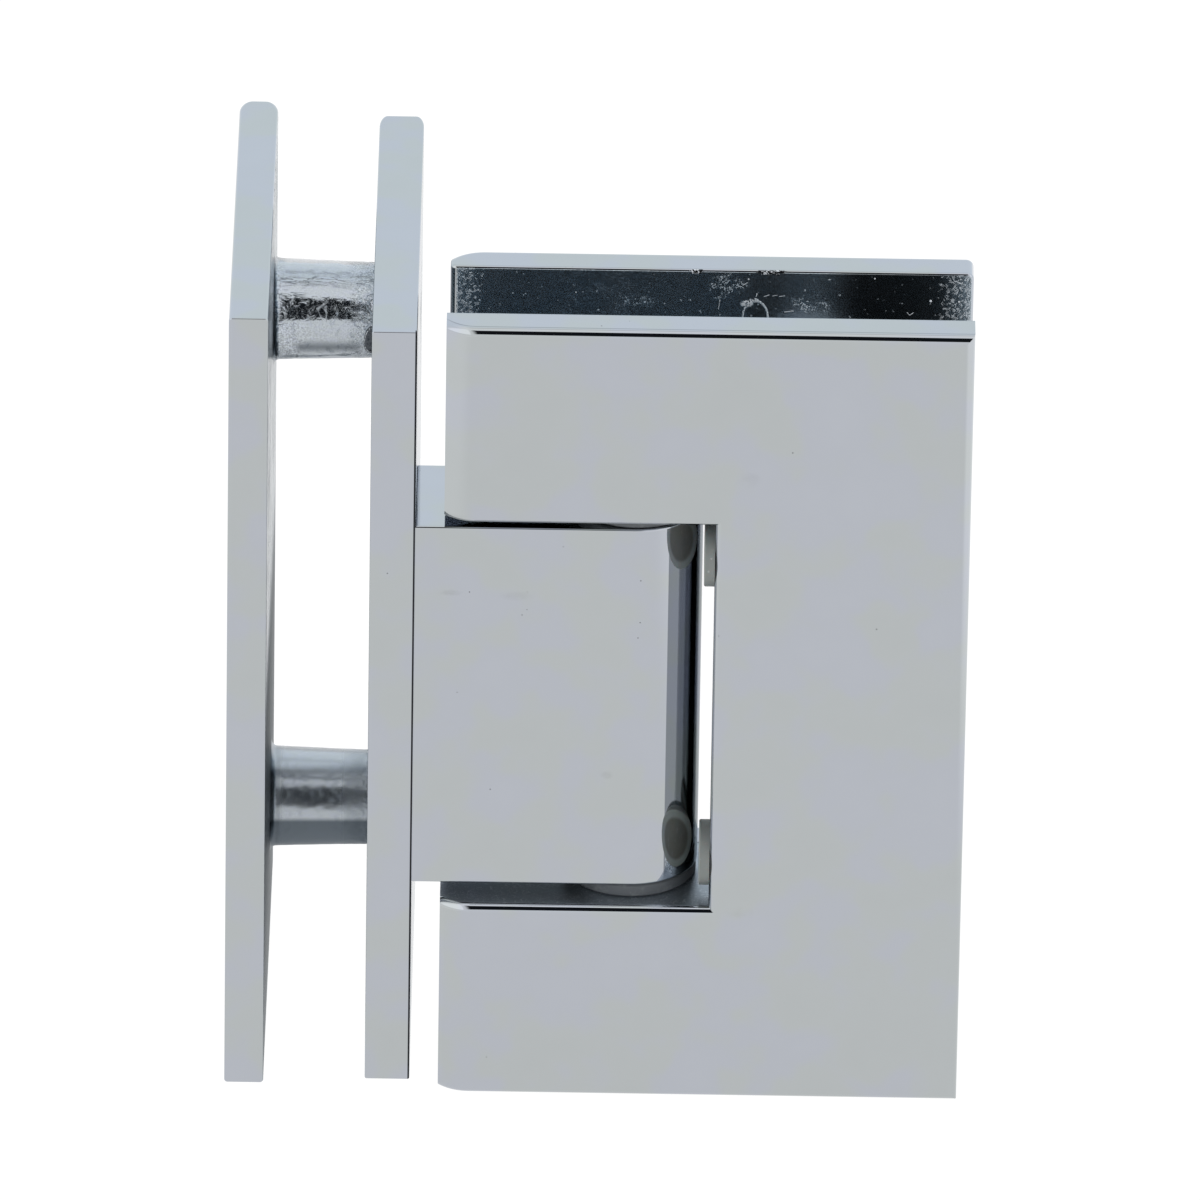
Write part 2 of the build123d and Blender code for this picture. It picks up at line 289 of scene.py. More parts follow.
def make_floor():
    size = 3.0
    z = cad_low.z - 0.02 * MM
    mesh = bpy.data.meshes.new("floor")
    corners = [(-size, -size, z), (size, -size, z), (size, size, z), (-size, size, z)]
    mesh.from_pydata(corners, [], [(0, 1, 2, 3)])
    floor = bpy.data.objects.new("floor", mesh)
    bpy.context.scene.collection.objects.link(floor)
    # a white table that glows, more so to the right of the part and a little to its left
    material, g = new_material("pale_floor")
    aside = g.math("SUBTRACT", g.x, (front_low.x + front_high.x) / 2)
    glow = g.plus(1.0, g.times(0.20, g.step(aside, 55, 150)), g.times(0.07, g.fall(aside, -150, -55)))
    lamp = g.add("ShaderNodeEmission", {"Color": (1.0, 1.0, 1.0), "Strength": glow})
    matte = g.add("ShaderNodeBsdfDiffuse", {"Color": (0.05, 0.05, 0.05)})
    both = g.add("ShaderNodeAddShader", {0: lamp.outputs[0], 1: matte.outputs[0]})
    out = g.add("ShaderNodeOutputMaterial")
    g.put(out.inputs["Surface"], both.outputs[0])
    mesh.materials.append(material)


def make_camera():
    elevation = math.radians(27.458)
    azimuth = math.radians(0.046)
    roll = math.radians(0.909)
    distance = 2.074
    aim = Vector((23.995, -21.2, 6.049)) * MM
    forward = Vector((
        math.sin(azimuth) * math.cos(elevation),
        math.cos(azimuth) * math.cos(elevation),
        -math.sin(elevation),
    ))
    level = Vector((math.cos(azimuth), -math.sin(azimuth), 0))
    upward = level.cross(forward)
    right = math.cos(roll) * level + math.sin(roll) * upward
    up = math.cos(roll) * upward - math.sin(roll) * level
    data = bpy.data.cameras.new("camera")
    data.sensor_width = 36.0
    data.lens = 594.03
    data.clip_start = 0.1
    data.clip_end = 20.0
    camera = bpy.data.objects.new("camera", data)
    bpy.context.scene.collection.objects.link(camera)
    turn = Matrix((right, up, -forward)).transposed()
    camera.matrix_world = Matrix.Translation(aim - distance * forward) @ turn.to_4x4()
    bpy.context.scene.camera = camera


# ---------------------------------------------------------------- chrome plate

CHROME_WARM = (0.440, 0.464, 0.470)
CHROME_COOL = (0.433, 0.454, 0.496)
CAST_DARK = (0.35, 0.41, 0.455)
CAST_PALE = (0.42, 0.47, 0.51)
BARE_GLINT = (0.80, 0.83, 0.86)
SMUDGE = (0.30, 0.315, 0.32)
PIT = (0.05, 0.055, 0.06)


def polished(g):
    """Colour, roughness and haze of polished chrome, with hairlines that show as duller lines."""
    slow = g.noise(0.15, 2.0)
    color = g.mix(g.step(slow, 0.42, 0.58), CHROME_WARM, CHROME_COOL)
    color = g.shade(color, g.scaled(slow, 0.06, 0.97))
    haze = g.noise(0.5, 3.0, 0.6)
    rough = g.scaled(g.step(haze, 0.45, 0.75), 0.025, 0.03)
    lines = g.noise(1.0, 1.0, at=g.stretched((9.0, 9.0, 0.22), (3.1, 7.7, 0.4)))
    across = g.noise(1.0, 1.0, at=g.stretched((0.25, 11.0, 11.0), (8.3, 2.1, 5.9)))
    hair = g.most(g.step(lines, 0.735, 0.76), g.step(across, 0.745, 0.77))
    return color, g.plus(rough, g.times(hair, 0.05)), haze


def left_as_cast(g, color, rough, height, face, ends, marks, painted_shading):
    """Lays cast plating over a face: nearly smooth in its middle, crinkled and with painted sparkles at its
    ends.
    """
    crinkle = g.noise(2.5, 2.0, 0.5, 1.2)
    ridge = g.fall(g.apart(crinkle, 0.5), 0.0, 0.05)
    broken = g.plus(g.noise(2.3, 1.0, at=g.stretched((1, 1, 1), (9, 4, 7))), g.times(ends, 0.27))
    sparkle = g.times(ridge, g.step(broken, 0.70, 0.82))
    folds = g.times(crinkle, g.plus(0.05, g.times(ends, 0.10)))
    bumps = g.plus(folds, g.times(sparkle, 0.4), g.times(marks, 1.2))
    height = g.plus(g.times(height, 0.1), g.times(bumps, face, 5.0))
    patchy = g.step(g.noise(0.35, 3.0, 0.6, 0.7), 0.35, 0.66)
    # the cast colour is scaled by painted shading
    cast_color = g.shade(g.mix(patchy, CAST_DARK, CAST_PALE), painted_shading)
    # the slot's marks are paler; the sparkles are painted glints
    cast_color = g.mix(g.most(marks, g.times(sparkle, 0.45)), cast_color, BARE_GLINT)
    color = g.mix(face, color, cast_color)
    dull = g.plus(0.20, g.times(marks, 0.3), g.times(ends, -0.12))
    rough = g.plus(g.times(rough, g.math("SUBTRACT", 1.0, face)), g.times(dull, face))
    bare = g.plus(0.03, g.times(marks, 0.7), g.times(sparkle, 0.35))
    return color, rough, height, g.math("SUBTRACT", 1.0, g.times(face, bare))


def plated(name, cast=None, smudges=(), pits=(), wear_and_shade=None, edge_pits=0.05):
    """Polished chrome with smudges and pits.

    cast(g) says which face is left as cast: its mask, ends, marks and painted shading.
    The wear function takes g, color and rough and adds the plate's own wear, and on the outer and inner
    plates painted shade.
    """
    material, g = new_material(name)
    color, rough, haze = polished(g)
    for centre, radii, depth in smudges:
        patch = g.times(g.blob(centre, radii, 0.7), g.step(haze, 0.30, 0.62))
        color = g.paint(color, SMUDGE, depth, patch)
        rough = g.plus(rough, g.times(patch, 0.12))
    holes = g.dots(0.55, 0.055, edge_pits)
    for centre, size in pits:
        holes = g.most(holes, g.blob(centre, (size, size, size), 0.6))
    color = g.paint(color, PIT, 0.75, holes)
    height = g.plus(g.times(g.noise(0.8, 1.0), 0.04), g.times(holes, -1.0))
    metal = 1.0
    if cast:
        color, rough, height, metal = left_as_cast(g, color, rough, height, *cast(g))
    if wear_and_shade:
        color, rough = wear_and_shade(g, color, rough)
    normal = g.bump(height, 0.02, 0.8)
    close_material(g, **{"Base Color": color, "Metallic": metal, "Roughness": rough, "Normal": normal})
    return material


def round_the_bosses(g, x):
    """Crinkled plating round the roots of the clamp bosses."""
    upper = g.blob((x, 0, boss_z), (4, 9, 8), 0.6)
    return g.most(upper, g.blob((x, 0, -boss_z), (4, 9, 8), 0.6))


def outer_cast(g):
    face = g.step(g.x, outer_glass - 0.06, outer_glass - 0.01)
    return face, g.plus(0.35, g.times(0.65, round_the_bosses(g, outer_glass))), 0.0, 1.0


def inner_cast(g):
    return g.fall(g.x, 0.01, 0.05), g.plus(0.3, g.times(0.7, round_the_bosses(g, 0))), 0.0, 1.0


def leaf_ends(g):
    """Where the plating in the slot is most crinkled: close to its left and right end."""
    left = g.fall(g.x, back_low.x + 1.2, back_low.x + 5.0)
    right = g.step(g.x, back_high.x - 5.5, back_high.x - 1.0)
    return g.most(left, right)


# Marks on the slot's far side, in x and z: scratches as start, end and width, specks as place and size
slot_scratches = (
    ((35.97, 41.6), (35.82, 40.5), 0.08),
    ((55.40, 40.45), (55.72, 40.12), 0.07),
    ((55.72, 40.12), (56.08, 40.42), 0.07),
    ((39.72, 42.0), (39.80, 42.35), 0.10),
    ((40.55, 42.02), (41.05, 42.22), 0.08),
    ((41.45, 42.10), (41.90, 42.20), 0.07),
    ((42.15, 42.05), (42.70, 42.15), 0.07),
    ((42.7, 40.25), (43.6, 40.4), 0.10),
    ((38.3, 43.3), (38.8, 43.6), 0.08),
)
slot_specks = (
    (57.85, 41.8, 0.16),
    (60.8, 41.75, 0.12),
    (21.0, 42.2, 0.08),
    (38.9, 44.0, 0.10),
    (52.0, 44.3, 0.10),
)


def slot_marks(g):
    """Scratches, specks and dust on the back plate's glass side, near its top edge."""
    y = slot_back
    crumple = g.noise(3.2, 3.0, 0.6, 0.8)
    # an arch-shaped scratch, thick and crumpled at its upper left
    offset = g.vector("SUBTRACT", g.p, (39.65, y, 39.72))
    reach = g.vector("LENGTH", g.vector("DIVIDE", offset, (1.27, 1.0, 1.75)))
    arch = g.times(g.between(reach, 0.97, 1.06, 0.05), g.step(crumple, 0.40, 0.52), 0.8)
    knot = g.most(
        g.blob((38.75, y, 41.15), (0.75, 0.5, 0.42), 0.4),
        g.blob((39.5, y, 41.55), (0.55, 0.5, 0.30), 0.4),
    )
    found = g.most(arch, g.times(knot, g.step(crumple, 0.45, 0.53)))
    for (x1, z1), (x2, z2), width in slot_scratches:
        found = g.most(found, g.streak((x1, y, z1), (x2, y, z2), width))
    for x, z, size in slot_specks:
        found = g.most(found, g.blob((x, y, z), (size, size, size), 0.4))
    # three drifts of fine specks, and dust over the whole side
    veil = g.most(
        g.blob((36.8, y, 43.0), (3.2, 1.0, 2.4), 0.9),
        g.blob((45.0, y, 41.0), (3.8, 1.0, 1.8), 0.9),
        g.times(g.blob((27.0, y, 41.2), (5.0, 1.0, 1.9), 0.9), 0.5),
    )
    drift = g.step(g.noise(0.9, 2.0, 0.6, 0.8), 0.40, 0.62)
    specks = g.times(g.step(g.times(veil, drift), 0.05, 0.9), g.step(g.noise(5.5, 2.0, 0.7), 0.54, 0.66))
    dust = g.dots(1.1, 0.07, 0.10)
    return g.most(found, g.times(specks, 0.42), g.times(dust, 0.5))


def back_cast(g):
    """The slot's far side is cast between the polished rolls of its edges."""
    face = g.times(
        g.fall(g.y, slot_back + 0.005, slot_back + 0.03),
        g.step(g.x, back_low.x + 0.6, back_low.x + 0.8),
        g.fall(g.x, back_high.x - 0.25, back_high.x - 0.15),
    )
    # painted shade over the far side's right part, and a painted lighter patch left of it
    shaded = g.scaled(g.between(g.x, 48.5, 60.5, 2.5), -0.75, 1.0)
    shaded = g.plus(shaded, g.times(g.blob((45.5, slot_back, 42), (4.5, 2, 9), 0.9), 0.35))
    # painted highlights standing in for faint embossed ripples, most of them left of the middle
    wave = g.apart(g.noise(1.0, 2.0, 0.5, 1.4, at=g.stretched((0.55, 1.0, 0.9))), 0.5)
    ripple_highlight = g.times(g.fall(wave, 0.0, 0.03), g.blob((24.5, slot_back, 42), (9.5, 2, 8), 0.8))
    return face, leaf_ends(g), slot_marks(g), g.plus(shaded, g.times(ripple_highlight, 0.9))


def front_cast(g):
    """The front plate's glass side is cast, but not the walls of its notch."""
    beside = g.math("LESS_THAN", g.x, notch_wall + 0.1)
    inside = g.math("LESS_THAN", g.math("ABSOLUTE", g.z), notch_half + 0.05)
    kept = g.math("SUBTRACT", 1.0, g.times(beside, inside))
    face = g.times(g.step(g.y, slot_front - 0.10, slot_front - 0.02), kept)
    return face, g.plus(0.25, g.times(0.75, leaf_ends(g))), 0.0, 1.0


def front_wear(g, color, rough):
    """The notch's upward face is dull and swirled where the washer rubs."""
    ledge = g.times(
        g.between(g.z, -notch_half - 0.03, -notch_half + 0.03, 0.02),
        g.step(g.y, front_low.y + 0.3, front_low.y + 0.4),
        g.math("LESS_THAN", g.x, notch_wall),
    )
    curl = g.fall(g.apart(g.noise(0.9, 2.0, 0.6, 1.6), 0.5), 0.0, 0.025)
    color = g.paint(color, (0.36, 0.41, 0.46), 0.8, ledge)
    color = g.paint(color, (0.75, 0.79, 0.83), 0.6, ledge, curl)
    # a brushed patch low on the notch's wall
    patch = g.blob((notch_wall, -34.0, -notch_half + 1.2), (0.9, 1.6, 1.5), 0.3)
    brushed = g.times(patch, g.step(g.noise(4.0, 2.0), 0.42, 0.55))
    color = g.mix(brushed, color, (0.80, 0.84, 0.88))
    return color, g.plus(rough, g.times(ledge, 0.36), g.times(brushed, 0.3))


def inner_wear_and_shade(g, color, rough):
    """A painted shade line, near black, down the front's door-side edge, and a duller side face."""
    side = g.step(g.x, inner_high.x - 0.03, inner_high.x - 0.01)
    shade_line = g.times(
        g.between(g.x, inner_high.x - 0.20, inner_high.x - 0.02, 0.02),
        g.fall(g.y, inner_low.y + 0.4, inner_low.y + 0.6),
    )
    # painted shade: a near-black line down the front's door-side edge
    color = g.mix(shade_line, color, (0.02, 0.022, 0.026))
    color = g.paint(color, (0.10, 0.11, 0.12), 0.8, side, g.dots(0.9, 0.10, 0.25))
    return color, g.plus(rough, g.times(side, 0.16))


def block_wear(g, color, rough):
    """Fine dark specks along the round end, which the door's notch keeps in shade."""
    end = g.step(g.x, block_high.x - 3.2, block_high.x - 2.4)
    color = g.paint(color, PIT, 0.7, end, g.dots(1.6, 0.10, 0.22))
    return color, g.plus(rough, g.times(end, 0.05))


def outer_side_shade(g, color, rough):
    """The glass side is duller, and painted darker along its lower half and in streaks: painted shade."""
    side = g.step(g.x, outer_glass - 0.06, outer_glass - 0.01)
    streaks = g.noise(1.0, 2.0, at=g.stretched((1.0, 5.0, 0.12)))
    # painted shade: the glass side darkened along its lower half and in vertical streaks
    side_shade = g.times(side, g.most(g.fall(g.z, -6.0, 6.0), g.step(streaks, 0.50, 0.60)))
    color = g.paint(color, (0.06, 0.07, 0.075), 0.8, side_shade)
    return color, g.plus(rough, g.times(side_shade, 0.35))


# ---------------------------------------------------------------- other metals and plastics

def rings_about(g, axis, centre):
    """Distance from a centre line along an axis, in the upper and the lower row alike."""
    squares = []
    for key in "xyz".replace(axis, ""):
        spot = g.math("ABSOLUTE", g.z) if key == "z" else getattr(g, key)
        off = g.math("SUBTRACT", spot, getattr(centre, key))
        squares.append(g.times(off, off))
    return g.math("SQRT", g.plus(*squares))


def turned(name, axis, centre, color):
    """Machined steel with turning marks round an axis, scuffed, with grime in its recesses."""
    material, g = new_material(name)
    track = g.add("ShaderNodeCombineXYZ", {0: rings_about(g, axis, centre), 1: getattr(g, axis)})
    lines = g.noise(7.0, 3.0, 0.7, at=track.outputs[0])
    worn = g.step(g.noise(0.9, 4.0, 0.6, 0.5), 0.42, 0.64)
    tone = g.mix(g.times(worn, 0.22), color, tuple(0.45 * c for c in color))
    tone = g.shade(tone, g.scaled(lines, 0.5, 0.75))
    tone = g.paint(tone, (0.06, 0.055, 0.05), 0.7, g.dots(0.8, 0.09, 0.16))
    rough = g.plus(0.17, g.times(0.22, worn), g.times(0.1, lines))
    normal = g.bump(g.noise(1.2, 3.0), 0.01, 1.0, g.bump(lines, 0.008))
    close_material(g, **{"Base Color": tone, "Metallic": 1.0, "Roughness": rough, "Normal": normal})
    return material


def crumbled(name):
    """Broken plating on an edge: painted highlights on its crests over painted shade in its hollows."""
    material, g = new_material(name)
    lumps = g.noise(2.4, 3.0, 0.6, 1.0)
    crest_highlight = g.step(lumps, 0.50, 0.56)
    # painted highlight on the crests, painted shade in the hollows
    tone = g.mix(crest_highlight, (0.01, 0.011, 0.013), (0.85, 0.87, 0.90))
    tone = g.shade(tone, g.scaled(g.noise(7.0, 2.0), 0.6, 0.6))
    metal = g.scaled(crest_highlight, -0.6, 0.95)
    rough = g.plus(0.14, g.times(crest_highlight, 0.2))
    normal = g.bump(lumps, 0.15)
    close_material(g, **{"Base Color": tone, "Metallic": metal, "Roughness": rough, "Normal": normal})
    return material


def drawn_wire(name):
    """Spring wire with fine die lines and a film of dark grease."""
    material, g = new_material(name)
    lines = g.noise(9.0, 3.0, 0.65)
    grease = g.step(g.noise(1.1, 3.0, 0.6, 0.7), 0.44, 0.60)
    tone = g.mix(grease, (0.42, 0.43, 0.44), (0.12, 0.11, 0.095))
    tone = g.shade(tone, g.scaled(lines, 0.5, 0.75))
    rough = g.plus(0.25, g.times(0.2, grease))
    normal = g.bump(lines, 0.006)
    close_material(g, **{"Base Color": tone, "Metallic": 1.0, "Roughness": rough, "Normal": normal})
    return material


def hard_plastic(name):
    """The washers' dark plastic, with turned rings, scuffs and a little dust."""
    material, g = new_material(name)
    track = g.add("ShaderNodeCombineXYZ", {0: rings_about(g, "z", pivot), 1: g.times(g.z, 0.6)})
    rings = g.noise(8.0, 2.0, at=track.outputs[0])
    scuff = g.step(g.noise(0.8, 4.0, 0.65), 0.50, 0.68)
    tone = g.mix(g.times(scuff, 0.6), (0.080, 0.088, 0.096), (0.15, 0.16, 0.165))
    tone = g.paint(tone, (0.42, 0.42, 0.41), 0.6, g.dots(2.2, 0.09, 0.10))
    rough = g.plus(0.42, g.times(scuff, 0.2), g.times(rings, 0.08))
    close_material(g, **{"Base Color": tone, "Roughness": rough, "Normal": g.bump(rings, 0.01)})
    return material


def soft_rubber(name):
    """The pads' greenish rubber: a pale rim round a darker, scratched middle."""
    material, g = new_material(name)
    radius = rings_about(g, "x", pad)
    disc = (pad_high.z - pad_low.z) / 2
    mottle = g.noise(0.9, 3.0)
    middle = g.mix(mottle, (0.150, 0.152, 0.132), (0.195, 0.196, 0.172))
    rim = g.mix(mottle, (0.320, 0.350, 0.335), (0.375, 0.400, 0.385))
    tone = g.mix(g.step(radius, 2.25, 2.75), middle, rim)
    # the pad's round side is painted darker: painted shade
    tone = g.mix(g.step(radius, disc - 0.08, disc - 0.02), tone, (0.175, 0.190, 0.183))
    scratch = g.step(g.noise(1.0, 2.0, at=g.stretched((3.0, 9.0, 0.7), (4.4, 1.2, 3.3))), 0.68, 0.73)
    tone = g.paint(tone, (0.50, 0.53, 0.51), 0.35, scratch)
    tone = g.paint(tone, (0.06, 0.06, 0.055), 0.7, g.dots(2.0, 0.10, 0.07))
    inputs = {"Base Color": tone, "Roughness": g.plus(0.38, g.times(mottle, 0.2))}
    inputs["Normal"] = g.bump(g.plus(g.noise(3.0, 3.0), g.times(scratch, 0.4)), 0.02)
    inputs["Subsurface Weight"] = 0.15
    inputs["Subsurface Scale"] = 0.0006
    close_material(g, **inputs)
    return material


# ---------------------------------------------------------------- the fixed leaf's bosses

# A painted highlight along a fold down the upper boss's front: start, end and width, with z from the boss's
# middle
boss_fold_highlight = (
    ((-4.7, -3.0, 4.0), (-5.1, -4.1, 2.9), 0.22),
    ((-5.1, -4.1, 2.9), (-6.1, -4.6, 2.3), 0.45),
    ((-6.1, -4.6, 2.3), (-5.6, -5.0, 1.2), 0.25),
    ((-5.2, -4.6, 2.3), (-5.15, -5.1, 1.1), 0.20),
)


def painted_crease_shade(g, upper):
    """Long dark lines of painted shade along the creases on the upper boss's top."""
    long_lines = g.noise(1.0, 2.0, 0.55, 0.5, at=g.stretched((0.30, 2.6, 2.6), (2.7, 0.4, 6.1)))
    shade_line = g.fall(g.apart(long_lines, 0.5), 0.0, 0.045)
    high_zone = g.between(upper, 4.25, 4.85, 0.15)
    low_zone = g.times(g.between(upper, 3.3, 4.0, 0.2), g.fall(g.x, -8.0, -7.0))
    return g.times(shade_line, g.most(high_zone, low_zone))


def painted_crease_highlights(g, folds, grain, band):
    """Painted highlights: bright squiggles in the upper boss's front band, and one fold across it."""
    squiggle_highlight = g.fall(g.apart(folds, 0.5), 0.0, 0.012)
    middle = Vector((0, 0, boss_z))
    fold_highlight = 0.0
    for start, end, width in boss_fold_highlight:
        fold_highlight = g.most(fold_highlight, g.streak(Vector(start) + middle, Vector(end) + middle, width))
    return g.most(g.times(squiggle_highlight, band, 0.8), g.times(fold_highlight, g.step(grain, 0.30, 0.42)))


def boss_metal(name, tilt, crinkle):
    """The cast bosses' plating: bright, with foil-like creases in front drawn as painted shade and painted
    highlights, painted shade bands, and grainy ends.
    """
    material, g = new_material(name)
    upper = g.math("SUBTRACT", g.z, boss_z)
    below = g.math("ADD", g.z, boss_z)
    lower = g.math("LESS_THAN", g.z, 0.0)
    calm = g.scaled(lower, -0.85, 1.0)
    left = g.fall(g.x, outer_glass + 0.3, outer_glass + 1.5)
    right = g.step(g.x, -3.6, -1.6)
    band = g.times(g.between(upper, 1.1, 3.4, 0.25), g.step(g.times(g.y, -1.0), -0.5, 1.0))
    grain = g.noise(5.5, 2.0, 0.6)
    folds = g.noise(1.0, 3.0, 0.55, 1.2, at=g.stretched((0.9, 1.5, 1.5)))
    crease_shade = painted_crease_shade(g, upper)
    crease_highlight = painted_crease_highlights(g, folds, grain, band)
    # the end near the inner plate shows a dent as painted shade: a dark patch, with a painted highlight on
    # its pale rim
    dent_shade = g.blob((-0.35, -4.7, boss_z - 1.35), (0.95, 1.8, 2.1), 0.35)
    rim = g.times(g.between(dent_shade, 0.35, 0.65, 0.12), g.step(grain, 0.42, 0.55))
    # shade on the upper boss's front and underside, and on the lower boss's underside and top
    front_shade = g.times(g.between(upper, -2.7, -1.5, 0.8), g.between(g.x, -8.3, -1.6, 0.8))
    upper_shade = g.times(g.fall(upper, -4.4, -3.0), g.math("SUBTRACT", 1.0, lower))
    lower_shade = g.times(g.fall(below, -0.45, 0.25), lower)
    high_shade = g.times(g.between(below, 4.15, 4.7, 0.25), lower)
    # grain, most of it at both ends and low on the upper boss
    low_grain = g.times(g.fall(upper, 0.4, 1.6), g.scaled(g.fall(g.x, -8.5, -6.5), 0.5, 0.4))
    speckled = g.most(low_grain, g.times(left, 0.8), g.times(right, 0.8), 0.2)
    uneven = g.times(g.math("SUBTRACT", grain, 0.5), speckled, calm)
    tone = g.mix(g.step(folds, 0.42, 0.6), (0.425, 0.458, 0.482), (0.425, 0.456, 0.502))
    tone = g.shade(tone, g.scaled(uneven, 1.8, 1.0))
    # painted shade and painted highlights laid over the plating's tone
    painted_light_layers = (
        (crease_shade, 0.75, (0.08, 0.09, 0.10)),
        (front_shade, 0.85, (0.09, 0.105, 0.12)),
        (upper_shade, 0.3, (0.10, 0.11, 0.12)),
        (lower_shade, 0.86, (0.062, 0.080, 0.098)),
        (high_shade, 0.6, (0.10, 0.12, 0.14)),
        (crease_highlight, 0.9, (0.82, 0.85, 0.88)),
        (g.step(dent_shade, 0.03, 0.15), 0.93, (0.05, 0.056, 0.064)),
        (rim, 0.8, (0.60, 0.64, 0.67)),
    )
    for mask, strength, color in painted_light_layers:
        tone = g.paint(tone, color, strength, mask)
    ends = g.plus(g.times(right, 0.10), g.times(left, 0.10))
    rough = g.plus(0.06, ends, g.times(lower, 0.19), g.times(crease_highlight, 0.2))
    metal = g.scaled(crease_highlight, -0.75, 0.98)
    height = g.plus(
        g.times(folds, calm, g.plus(0.05, g.times(band, 0.09), g.times(g.most(left, right), 0.26))),
        g.times(crease_shade, 0.05),
        g.times(grain, calm, g.plus(0.010, g.times(speckled, 0.07))),
    )
    source = g.add("ShaderNodeNewGeometry").outputs["Normal"]
    turn = g.add("ShaderNodeVectorRotate", {"Vector": source, "Angle": tilt}, rotation_type="X_AXIS")
    normal = g.bump(height, crinkle, 1.0, turn.outputs[0])
    close_material(g, **{"Base Color": tone, "Metallic": metal, "Roughness": rough, "Normal": normal})
    return material


# ---------------------------------------------------------------- skins and chips

def mesh_object(name, points, faces, material, body):
    mesh = bpy.data.meshes.new(name)
    mesh.from_pydata([tuple(Vector(p) * MM) for p in points], [], faces)
    mesh.polygons.foreach_set("use_smooth", [True] * len(mesh.polygons))
    mesh.materials.append(material)
    piece = bpy.data.objects.new(name, mesh)
    bpy.context.scene.collection.objects.link(piece)
    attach(piece, body)
    return piece


def ring_faces(first, rows, around, flipped=False):
    """Quads between rows of points that go round. first is the number of the first row's first point."""
    faces = []
    for row in range(rows):
        for column in range(around):
            a = first + row * around + column
            b = first + row * around + (column + 1) % around
            faces.append((a, a + around, b + around, b) if flipped else (a, b, b + around, a + around))
    return faces


def boss_skin(name, centre, axis, length, lump, seed, around, rows, material, body):
    """The as-cast surface of a boss: its root flows into the plate and its wall is lumpy."""
    centre, axis = Vector(centre), Vector(axis)
    first = Vector((0, 0, 1)).cross(axis).normalized()
    second = axis.cross(first)
    points = []
    for row in range(rows + 1):
        part = row / rows
        reach = length * part**1.6
        flare = boss_bend - math.sqrt(max(boss_bend**2 - max(boss_bend - reach, 0) ** 2, 0))
        wall = boss_root + (boss_tip - boss_root) * reach / length + skin_cover + flare
        fade = min(1.0, reach / 0.5)
        rough_end = 0.10 * max(0.0, part - 0.93) / 0.07
        for column in range(around):
            angle = 2 * math.pi * column / around
            way = math.cos(angle) * first + math.sin(angle) * second
            spot = centre + axis * reach + way * wall
            slow = noise.noise(spot * 0.35 + Vector((seed, 0, 0)))
            quick = noise.noise(spot * 1.3 + Vector((0, seed, 0)))
            crease = abs(noise.noise(spot * 0.9 + Vector((0, 0, seed))))
            grow = lump * (0.5 + 0.5 * slow + 0.35 * quick - 0.5 * crease) * fade
            grow += rough_end * noise.noise(spot * 2.6)
            points.append(spot + way * max(grow, -0.01))
    ends = [tuple(reversed(range(around))), tuple(rows * around + column for column in range(around))]
    skin = mesh_object(name, points, ring_faces(0, rows, around) + ends, material, body)
    for end in skin.data.polygons[-2:]:
        end.use_smooth = False
    return skin


def burr(name, centre, size, seed, material, body):
    """A crumpled chip of plating turned up on an edge."""
    centre = Vector(centre)
    rows, around = 40, 80

    def spot_at(polar, angle):
        way = Vector((math.sin(polar) * math.cos(angle), math.sin(polar) * math.sin(angle), math.cos(polar)))
        lump = noise.noise(way * 2.6 + Vector((seed, 0, 0)))
        jag = 1.0 + 0.55 * lump + 0.40 * noise.noise(way * 7.0) + 0.25 * noise.noise(way * 15.0)
        spot = centre + Vector(way[i] * size[i] * jag for i in range(3))
        spot.z = min(spot.z, back_high.z - 0.01)
        return spot

    points = [spot_at(0.0, 0.0)]
    for row in range(1, rows):
        for column in range(around):
            points.append(spot_at(math.pi * row / rows, 2 * math.pi * column / around))
    points.append(spot_at(math.pi, 0.0))
    last = len(points) - 1
    faces = []
    for column in range(around):
        after = (column + 1) % around
        faces.append((0, 1 + column, 1 + after))
        faces.append((last, last - around + after, last - around + column))
    faces += ring_faces(1, rows - 2, around, flipped=True)
    return mesh_object(name, points, faces, material, body)


# ---------------------------------------------------------------- dressing the part

# Smudges as centre, radii and depth, and pits as centre and size
block_smudges = (
    ((8.6, block_low.y, 13.3), (1.9, 0.5, 0.45), 0.30),
    ((15.3, block_low.y, 13.0), (2.3, 0.5, 0.7), 0.16),
    ((25.0, block_low.y, -7.9), (0.9, 0.5, 0.6), 0.2),
)
block_pits = (
    ((28.2, block_low.y, 15.0), 0.11),
    ((28.2, block_low.y, 10.1), 0.11),
    ((28.0, block_low.y, 8.3), 0.10),
    ((10.4, block_low.y, 13.4), 0.10),
    ((15.9, block_low.y, 10.8), 0.09),
)
front_smudges = (
    ((39.3, front_low.y, 28.1), (1.6, 0.5, 1.1), 0.14),
    ((39.2, front_low.y, -22.8), (1.8, 0.5, 0.9), 0.14),
)
front_pits = (((23.7, -34.8, front_high.z), 0.12), ((26.6, -33.6, front_high.z), 0.07))
back_pits = (((19.9, -21.3, back_high.z), 0.06), ((20.6, -21.25, back_high.z), 0.06))

SCREW_STEEL = (0.56, 0.565, 0.57)
PIN_STEEL = (0.50, 0.51, 0.52)
HARD_STEEL = (0.48, 0.485, 0.49)

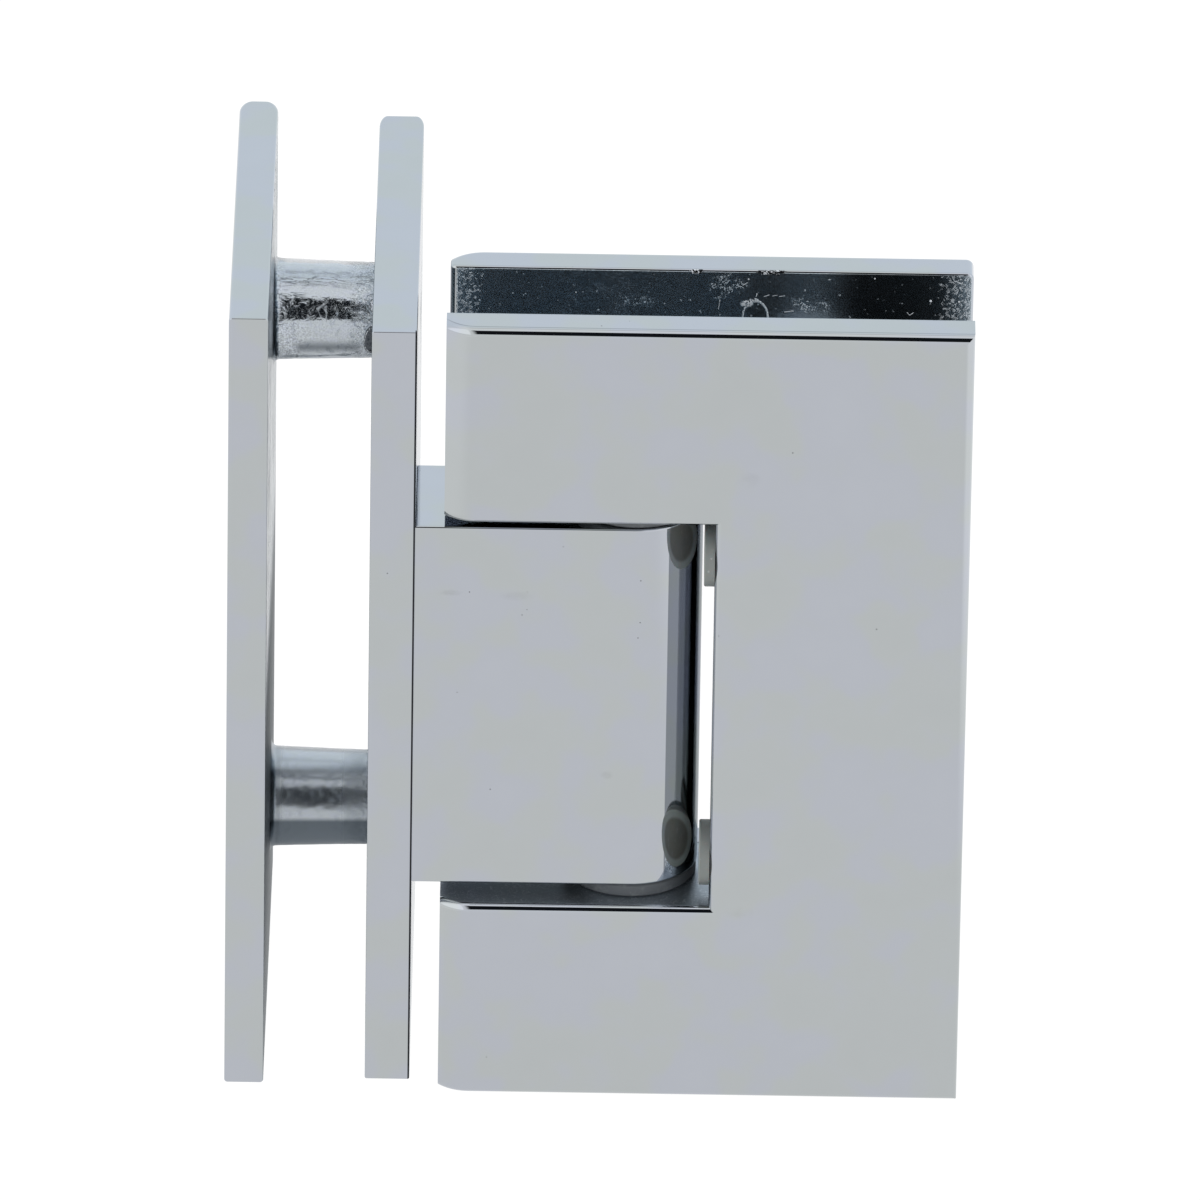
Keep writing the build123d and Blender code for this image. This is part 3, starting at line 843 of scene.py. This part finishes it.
materials = {
    "fixed_outer_plate": plated("outer_chrome", outer_cast, wear_and_shade=outer_side_shade),
    "fixed_inner_plate": plated("inner_chrome", inner_cast, wear_and_shade=inner_wear_and_shade),
    "pivot_block": plated(
        "block_chrome", smudges=block_smudges, pits=block_pits, edge_pits=0.12, wear_and_shade=block_wear
    ),
    "door_front_plate": plated(
        "front_chrome", front_cast, smudges=front_smudges, pits=front_pits, wear_and_shade=front_wear
    ),
    "door_back_plate": plated("back_chrome", back_cast, pits=back_pits),
    "pivot_pin": turned("pivot_steel", "z", pivot, PIN_STEEL),
    "fixed_clamp_screw": turned("fixed_screw_steel", "x", fixed_screw, SCREW_STEEL),
    "door_clamp_screw": turned("door_screw_steel", "y", door_screw, SCREW_STEEL),
    "block_screw": turned("block_screw_steel", "x", block_screw, SCREW_STEEL),
    "detent_plunger": turned("plunger_steel", "x", plunger, HARD_STEEL),
    "cross_pin": turned("cross_pin_steel", "y", cross_pin, HARD_STEEL),
    "detent_spring": drawn_wire("spring_wire"),
    "thrust_washer": hard_plastic("washer_plastic"),
    "bumper_pad": soft_rubber("pad_rubber"),
}
for name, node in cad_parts.items():
    family = name.removesuffix("_top").removesuffix("_bottom")
    node.data.materials.clear()
    node.data.materials.append(materials[family])

# The skins start just off one plate and stop just short of the other
skin_start = 0.005
skin_gap = 0.04
fixed_length = -outer_glass - skin_gap
door_length = slot_back - slot_front - skin_gap
boss_chrome = boss_metal("boss_chrome", math.radians(-10.5), 0.30)
slot_boss_chrome = plated("slot_boss_chrome")
for row, side, lump in (("top", 1, 0.06), ("bottom", -1, 0.04)):
    start = (outer_glass + skin_start, 0, side * boss_z)
    boss_skin(
        f"fixed_boss_skin_{row}", start, (1, 0, 0), fixed_length,
        lump, 3.7 + side, 192, 110, boss_chrome, "fixed_leaf",
    )
    start = (door_screw.x, slot_front + skin_start, side * door_screw.z)
    boss_skin(
        f"door_boss_skin_{row}", start, (0, 1, 0), door_length,
        0.08, 8.1 + side, 96, 60, slot_boss_chrome, "door_leaf",
    )

# Chips along the back plate's inner top edge: place, half width and seed
chips = ((33.5, 0.5, 1.3), (40.7, 0.7, 6.4), (41.7, 0.85, 2.9))
chip_chrome = crumbled("chip_chrome")
for number, (x, half_width, seed) in enumerate(chips):
    spot = (x, slot_back + 0.06, back_high.z - 0.16)
    burr(f"edge_chip_{number}", spot, (half_width, 0.16, 0.26), seed, chip_chrome, "door_leaf")

make_world()
make_floor()
make_camera()
bpy.context.scene.view_settings.view_transform = "Standard"
